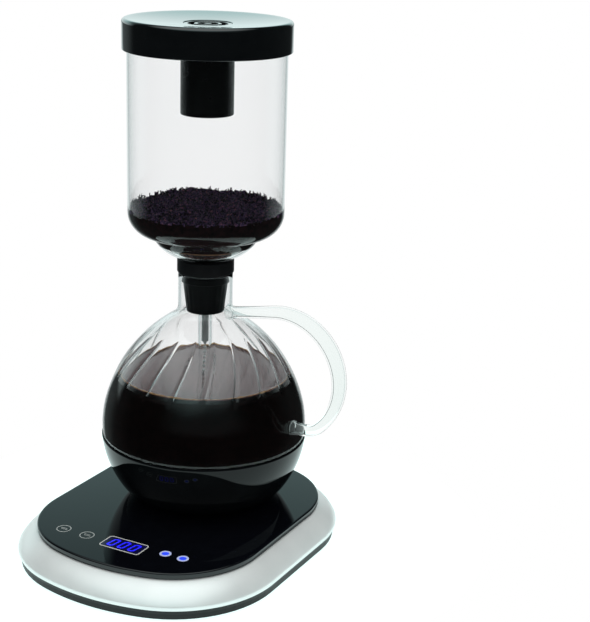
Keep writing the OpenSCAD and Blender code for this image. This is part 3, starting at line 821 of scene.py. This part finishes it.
def build_cradle():
    """A bowl under the globe: a round bend at the foot, a ball up to the rim, and a ledge for the seal."""
    base = 27.7 - GLOBE_Z
    r, wall, rim = 67.4, 2.2, -6.0
    round_r = 22.0
    round_z = base + round_r
    round_x = math.sqrt((r - round_r) ** 2 - round_z**2)
    meet = math.degrees(math.atan2(round_z, round_x))
    foot_r, ledge = 36.2, -14.6
    outside = (
        arc(round_x, round_z, round_r, -90, meet, 24)
        + arc(0, 0, r, meet, math.degrees(math.asin((rim - 0.5) / r)), 40)[1:]
    )
    lip_r = outside[-1][0]
    lip = [(lip_r - 0.12, rim - 0.12), (lip_r - 0.45, rim), (66.5, rim)]
    seat = [(66.4, rim - 0.2), (66.0, -8.1), (65.4, -8.1), (65.4, ledge)]
    hollow = (
        arc(0, 0, r - wall, math.degrees(math.asin(ledge / (r - wall))), meet, 20)
        + arc(round_x, round_z, round_r - wall, meet, -60, 12)[1:]
        + [(foot_r, base + 4.3), (foot_r, base + 0.02)]
    )
    foot = even([(foot_r, base + 0.01), outside[0]], 4)
    section = foot + outside[1:] + lip + seat + hollow
    piece = lathe("cradle", section, "jug", cradle_black, seg=192, z0=GLOBE_Z, closed=True, sharp=40)
    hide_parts("cradle_shell")


build_cradle()


# ---------------------------------------------------------------- base
def plan_loft(name, rows, body, mat):
    """A closed skin through rings: ("plan", reach, z) follows the base's outline, ("hole", r, z) is round."""
    n = len(PLAN)
    verts = []
    for kind, size, z in rows:
        for x, y, nx, ny in PLAN:
            if kind == "plan":
                verts.append((x + nx * size, y + ny * size, z))
            else:
                length = math.hypot(x, y)
                verts.append((x * size / length, y * size / length, z))
    faces = []
    for k in range(len(rows)):
        faces += quads(k * n, ((k + 1) % len(rows)) * n, n)
    return new_object(name, verts, faces, body, mat)


def on_plan(points):
    """Rows for plan_loft from (reach, z) points."""
    return [("plan", reach, z) for reach, z in points]


def build_panel():
    """The black glass: softened edges, and a round hole for the connector."""
    low, top = PANEL_LOW.z, PANEL_TOP
    hole, wide = 15.3, 30
    rows = on_plan([(-8, low), (-0.5, low)] + arc(-0.5, low + 0.5, 0.5, -60, 0, 3))
    rows += on_plan(arc(-0.9, top - 0.9, 0.9, 0, 90, 7) + [(-1.6, top), (-8, top)])
    rows += [("hole", wide, top), ("hole", hole + 0.5, top), ("hole", hole, top - 0.4)]
    rows += [("hole", hole, low + 0.1), ("hole", hole + 0.5, low), ("hole", wide, low)]
    panel = plan_loft("panel", rows, "base", panel_black)
    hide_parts("top_panel")


def build_skirt():
    """The silver skirt: a wide bend down from its flat top, then a tight one at its widest point."""
    crown, reach, edge_r = PANEL_LOW.z - 0.2, 12.3, 3.0
    wide_a, tight_a = math.radians(72), math.radians(28)
    wide_r = (reach + 1 - edge_r * (1 - math.cos(tight_a))) / (math.cos(tight_a) - math.cos(wide_a))
    wide_x, wide_z = -1 - wide_r * math.cos(wide_a), crown - wide_r * math.sin(wide_a)
    edge_x = wide_x + (wide_r - edge_r) * math.cos(tight_a)
    edge_z = wide_z + (wide_r - edge_r) * math.sin(tight_a)
    ledge = -9
    section = [(ledge, crown), (-3, crown), (-1.6, crown - 0.04)]
    section += arc(wide_x, wide_z, wide_r, 71, 28, 18) + arc(edge_x, edge_z, edge_r, 26, 0, 5)
    section += [(reach - 0.05, 9.0), (reach - 0.2, 8.5), (reach - 0.4, 8.15), (reach - 0.7, 8.05)]
    section += [(9.3, 8.1), (9, 8.4), (9, 13.8), (4, 14.2), (4, 18.3), (ledge, 18.3)]
    shell = plan_loft("skirt", on_plan(section[::-1]), "base", silver)
    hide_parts("base_shell")


def build_strip():
    """The dark rim of the bottom cover, which shows as a strip under the skirt."""
    low, inside, inside_r = 2.0, 4.5, 6
    outside = [(8.6, low), (9.2, 2.15), (9.5, 2.6), (11.0, 7.3), (11.0, 7.7), (10.7, 7.95)]
    rows = on_plan(outside + [(9.2, 7.95), (8.4, 7.9), (8.4, inside)])
    rows += [("hole", inside_r, inside), ("hole", inside_r, low)]
    cover = plan_loft("bottom_strip", rows, "base", satin_black)


build_panel()
build_skirt()
build_strip()


def flat_ring(name, at, r0, r1, z0, z1, body, mat):
    """A flat ring with softened edges, or a slightly domed disc if r0 is 0."""
    seg = 48
    s = min(0.12, (z1 - z0) / 2)
    edge = [(r1, z0), (r1, z1 - s), (r1 - s, z1)]
    if r0:
        profile = [(r0, z0)] + edge + [(r0 + s, z1), (r0, z1 - s)]
    else:
        tip = 0.01
        profile = [(tip, z0)] + edge + [(r1 * 0.5, z1 + 0.04), (tip, z1 + 0.06)]
    verts = [(at[0] + r * math.cos(a), at[1] + r * math.sin(a), z) for r, z in profile for a in turns(seg)]
    rows = len(profile)
    faces = []
    for k in range(rows if r0 else rows - 1):
        faces += quads(k * seg, ((k + 1) % rows) * seg, seg)
    if not r0:
        faces += [tuple(reversed(range(seg))), tuple(range((rows - 1) * seg, rows * seg))]
    return new_object(name, verts, faces, body, mat)


def plate(name, outlines, z0, z1, body, mat):
    """Flat convex plates from outlines in (x, y)."""
    verts, faces = [], []
    for outline in outlines:
        n, base = len(outline), len(verts)
        verts += [(x, y, z0) for x, y in outline] + [(x, y, z1) for x, y in outline]
        faces.append(tuple(base + i for i in reversed(range(n))))
        faces.append(tuple(base + n + i for i in range(n)))
        faces += quads(base, base + n, n)
    return new_object(name, verts, faces, body, mat, smooth=False)


def round_rect(cx, cy, w, d, r):
    """The outline of a rectangle with round corners."""
    out = []
    for sx, sy, a0 in ((1, 1, 0), (-1, 1, 90), (-1, -1, 180), (1, -1, 270)):
        out += arc(cx + sx * (w / 2 - r), cy + sy * (d / 2 - r), r, a0, a0 + 90, 6)
    return out


def build_touch_keys():
    """A thin ring round each touch key, with two wavy strokes in it."""
    low, high = span("touch_key_marks")
    key_r, key_y = (high.y - low.y) / 2, (high.y + low.y) / 2
    top, line, half_stroke = PANEL_TOP, 0.55, 0.22
    thick = 0.08
    for i, x in enumerate((low.x + key_r, high.x - key_r)):
        at = (x, key_y)
        ring = flat_ring(f"key_ring_{i + 1}", at, key_r - line, key_r, top, top + thick, "base", print_grey)
        if i == 0:
            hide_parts("touch_key_marks")
        bars = []
        for k, (x0, x1, y) in enumerate(((-2.6, 2.2, 0.75), (-1.9, 2.7, -0.45))):
            wave = [(x + x0 + (x1 - x0) * t / 8, key_y + y + 0.22 * math.sin(2.4 * t + k)) for t in range(9)]
            for (px, py), (qx, qy) in zip(wave, wave[1:]):
                under = [(px, py - half_stroke), (qx, qy - half_stroke)]
                bars.append(under + [(qx, qy + half_stroke), (px, py + half_stroke)])
        glyph = plate(f"key_glyph_{i + 1}", bars, top, top + thick, "base", print_grey)


def digit_segments(cx, cy):
    """The outlines of the lit segments of one leaning 0, centred on a point."""
    lean, w, h, bar, gap = 0.16, 5.0, 9.4, 1.25, 0.12
    half, tip, slant = h / 2, 0.1, 0.3
    x0, y0 = cx - w / 2, cy - h / 2
    shapes = []
    for x in (0, w - bar):
        for y in (0, half):
            lo, hi = y + (bar if y == 0 else 0) * 0.5 + gap, y + half - (0 if y == 0 else bar * 0.5) - gap
            left = [(x, hi - slant), (x, lo + slant)]
            right = [(x + bar, lo + slant), (x + bar, hi - slant)]
            shapes.append([left[1], (x + bar / 2, lo - tip), *right, (x + bar / 2, hi + tip), left[0]])
    for y in (0, h - bar):
        ends = (bar * 0.55, y + bar / 2), (w - bar * 0.55, y + bar / 2)
        shapes.append([ends[0], (bar, y), (w - bar, y), ends[1], (w - bar, y + bar), (bar, y + bar)])
    return [[(x0 + x + lean * (y - h / 2), y0 + y) for x, y in shape] for shape in shapes]


def build_display():
    """The display's frame, its dark window and three lit digits."""
    top, line = PANEL_TOP, 0.75
    low, high = span("display_frame")
    cx, cy, w, d = (low.x + high.x) / 2, (low.y + high.y) / 2, high.x - low.x, high.y - low.y
    outer = round_rect(cx, cy, w, d, 2.4)
    inner = round_rect(cx, cy, w - 2 * line, d - 2 * line, 1.7)
    n = len(outer)
    strips = [[outer[i], outer[(i + 1) % n], inner[(i + 1) % n], inner[i]] for i in range(n)]
    bezel = plate("display_bezel", strips, top, top + 0.1, "base", frame_grey)
    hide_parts("display_frame")
    window = plate("display_window", [inner], top, top + 0.03, "base", window_blue)
    pitch = 7.6
    segments = [shape for k in (-1, 0, 1) for shape in digit_segments(cx + k * pitch, cy)]
    digits = plate("digits", segments, top + 0.04, top + 0.1, "base", digit_blue)
    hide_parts("display_digits")


def build_lamps():
    """Two indicators: a pale ring round a blue lens, let into the panel."""
    low, high = span("indicator_rings")
    r, y = (high.y - low.y) / 2, (high.y + low.y) / 2
    deep = PANEL_TOP - 0.6
    for i, x in enumerate((low.x + r, high.x - r)):
        ring = flat_ring(f"lamp_ring_{i + 1}", (x, y), 2.25, r, deep, PANEL_TOP + 0.14, "base", lamp_white)
        lens = flat_ring(f"lamp_lens_{i + 1}", (x, y), 0, 2.2, deep, PANEL_TOP + 0.1, "base", lamp_blue)
        if i == 0:
            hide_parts("indicator_rings")
            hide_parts("indicator_lenses")


build_touch_keys()
build_display()
build_lamps()


# ---------------------------------------------------------------- the remaining CAD nodes
NODE_LOOKS = {
    rubber: ("rubber_feet", "panel_gasket", "cord_grommet", "connector_seal", "foot_ring", "globe_seal"),
    satin_black: ("bottom_cover", "connector_socket", "connector_plug", "cradle_bottom"),
    board_green: ("control_board", "power_board"),
    off_white: ("display_module", "contact_shutter", "terminal_block"),
    steel: (
        "touch_springs", "shutter_spring", "base_screws", "board_screws",
        "cradle_screws", "heater_bowl", "heating_element", "filter_disc", "filter_nut",
    ),
    # The filter chain and spring take the copy of the steel that is painted lighter.
    steel_painted_light: ("filter_spring", "filter_chain"),
    brass: ("connector_contacts", "plug_contacts", "thermostat"),
    copper: ("transformer",),
    blue_case: ("relay",),
    ink_case: ("capacitor",),
    ribbon: ("ribbon_cable",),
    lead_brown: ("mains_leads",),
    felt: ("filter_cloth",),
    chip_white: ("led_chips",),
    residue_mat: ("residual_coffee",),
    grounds_mat: ("coffee_grounds",),
}
for look, names in NODE_LOOKS.items():
    for node_name in names:
        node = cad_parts[node_name]
        node.data.materials.clear()
        node.data.materials.append(look)


# ---------------------------------------------------------------- floor, light and camera
def build_floor():
    """A round, white table top, just wide enough to light the object from below. It is in metres."""
    mat, tree, bsdf = nodes_of("floor")
    grey = ramp(tree, noise(tree, 5), ((0.3, (0.27, 0.27, 0.27)), (0.7, (0.29, 0.29, 0.29))))
    tree.links.new(grey, bsdf.inputs["Base Color"])
    bsdf.inputs["Roughness"].default_value = 0.9
    bsdf.inputs["Specular IOR Level"].default_value = 0.0
    bsdf.inputs["Emission Color"].default_value = (0.80, 1, 0.985, 1)
    bsdf.inputs["Emission Strength"].default_value = 1.12
    radius, n = 0.187, 96
    mesh = bpy.data.meshes.new("floor")
    mesh.from_pydata([(radius * math.cos(a), radius * math.sin(a), 0) for a in turns(n)], [], [tuple(range(n))])
    mesh.materials.append(mat)
    obj = bpy.data.objects.new("floor", mesh)
    bpy.context.scene.collection.objects.link(obj)


build_floor()


def build_top_light():
    """A soft box above, seen only as light on rough surfaces."""
    light = bpy.data.lights.new("top_box", "AREA")
    light.shape = "RECTANGLE"
    light.size = light.size_y = 0.9
    light.energy = 6
    obj = bpy.data.objects.new("top_box", light)
    obj.location = (0.1, -0.1, 1.3)
    obj.rotation_euler = (Vector((0, 0, 0.1)) - obj.location).to_track_quat("-Z", "Y").to_euler()
    obj.visible_camera = False
    obj.visible_glossy = False
    obj.visible_transmission = False
    bpy.context.scene.collection.objects.link(obj)


build_top_light()


def build_world():
    """White to look at and to light by. Mirrors see a dim studio with a bright backdrop behind the object."""
    world = bpy.data.worlds.new("studio")
    bpy.context.scene.world = world
    world.use_nodes = True
    tree = world.node_tree
    back = tree.nodes["Background"]
    coord = tree.nodes.new("ShaderNodeTexCoord")
    split = tree.nodes.new("ShaderNodeSeparateXYZ")
    tree.links.new(coord.outputs["Generated"], split.inputs[0])

    def lift(value, low, high, to_low=0.0, to_high=1.0):
        """A smooth rise from to_low to to_high while the value runs from low to high."""
        node = tree.nodes.new("ShaderNodeMapRange")
        node.interpolation_type = "SMOOTHSTEP"
        for key, number in (("From Min", low), ("From Max", high), ("To Min", to_low), ("To Max", to_high)):
            node.inputs[key].default_value = number
        tree.links.new(value, node.inputs["Value"])
        return node.outputs["Result"]

    def combine(operation, a, b):
        """The result of a sum on two sockets or numbers."""
        node = tree.nodes.new("ShaderNodeMath")
        node.operation = operation
        for socket, value in zip(node.inputs, (a, b)):
            if isinstance(value, (int, float)):
                socket.default_value = value
            else:
                tree.links.new(value, socket)
        return node.outputs[0]

    def toward(direction):
        """How nearly the ray points in a direction: 1 when it does."""
        node = tree.nodes.new("ShaderNodeVectorMath")
        node.operation = "DOT_PRODUCT"
        node.inputs[1].default_value = direction
        tree.links.new(coord.outputs["Generated"], node.inputs[0])
        return node.outputs["Value"]

    def multiply(a, b):
        return combine("MULTIPLY", a, b)

    def add(a, b):
        return combine("ADD", a, b)

    height = split.outputs["Z"]
    # What mirrors see: a backdrop behind the object, a faint front light and a soft box overhead.
    backdrop = multiply(
        multiply(lift(toward((-0.71, 0.70, 0)), 0.60, 0.86), lift(height, -0.05, 0.03, 0.12, 1.0)),
        lift(height, 0.30, 0.50, 0.92, 0.26),
    )
    front = multiply(lift(toward((0.50, -0.82, 0.28)), 0.55, 0.95, 0.0, 0.10), lift(height, 0.0, 0.18))
    overhead = lift(toward((0.06, -0.32, 0.945)), 0.58, 0.92, 0.0, 1.3)

    # What the edges of the glass show: the white table behind, and paler surroundings once inside the glass.
    path = tree.nodes.new("ShaderNodeLightPath")
    inside_glass = combine("MINIMUM", path.outputs["Transmission Depth"], 1)
    below = lift(height, -0.10, 0.0, 1.0, 0.0)
    ahead = multiply(lift(toward((-0.50, 0.81, -0.30)), 0.84, 0.96, 0.0, 0.8), below)
    around = multiply(lift(toward((-0.52, 0.85, 0)), 0.0, 0.5, 0.0, 0.65), inside_glass)
    beyond = combine("MAXIMUM", ahead, around)

    # The studio is a little cyan near the horizon, and neutral above and through the glass.
    tint = tree.nodes.new("ShaderNodeMix")
    tint.data_type = "RGBA"
    tint.inputs["A"].default_value = (0.68, 1.0, 1.0, 1)
    tint.inputs["B"].default_value = (1, 1, 1, 1)
    neutral = add(lift(height, 0.12, 0.36, 0.5, 0.0), lift(height, 0.5, 0.75, 0.0, 0.75))
    tree.links.new(combine("MAXIMUM", beyond, neutral), tint.inputs["Factor"])
    tree.links.new(tint.outputs["Result"], back.inputs["Color"])
    dimmest = 0.02
    total = add(combine("MAXIMUM", add(add(backdrop, front), overhead), beyond), dimmest)
    tree.links.new(total, back.inputs["Strength"])
    white = tree.nodes.new("ShaderNodeBackground")
    white.inputs["Color"].default_value = (1, 1, 1, 1)
    white.inputs["Strength"].default_value = 1.0
    mirrored = combine("MINIMUM", path.outputs["Glossy Depth"], 1)
    mix = tree.nodes.new("ShaderNodeMixShader")
    tree.links.new(mirrored, mix.inputs["Fac"])
    tree.links.new(white.outputs[0], mix.inputs[1])
    tree.links.new(back.outputs[0], mix.inputs[2])
    tree.links.new(mix.outputs[0], tree.nodes["World Output"].inputs["Surface"])


build_world()


def build_camera():
    """The camera on a sphere round a point on the jug's axis, then panned, tilted and rolled a little."""
    camera = bpy.data.cameras.new("camera")
    camera.sensor_width = 36
    camera.lens = 83.98
    camera.clip_start = 0.01
    obj = bpy.data.objects.new("camera", camera)
    bpy.context.scene.collection.objects.link(obj)
    bpy.context.scene.camera = obj
    azimuth, elevation, distance, target_z = math.radians(31.33), math.radians(17.76), 0.940, 0.1446
    pan, tilt, roll = math.radians(3.54), math.radians(0.47), math.radians(0.51)
    level = math.cos(elevation)
    forward = Vector((-math.sin(azimuth) * level, math.cos(azimuth) * level, -math.sin(elevation)))
    right = Vector((math.cos(azimuth), math.sin(azimuth), 0))
    up = right.cross(forward)
    spot = Vector((0, 0, target_z)) - distance * forward

    def turn(a, b, t):
        return a * math.cos(t) + b * math.sin(t), b * math.cos(t) - a * math.sin(t)

    forward, right = turn(forward, right, pan)
    forward, up = turn(forward, up, tilt)
    right, up = turn(right, up, roll)
    obj.matrix_world = Matrix.Translation(spot) @ Matrix((right, up, -forward)).transposed().to_4x4()


build_camera()

scene = bpy.context.scene
scene.view_settings.view_transform = "Standard"
scene.view_settings.look = "None"
scene.cycles.use_denoising = True
scene.cycles.max_bounces = 32
scene.cycles.transmission_bounces = 32
scene.cycles.glossy_bounces = 32
scene.cycles.diffuse_bounces = 4
scene.cycles.sample_clamp_indirect = 8
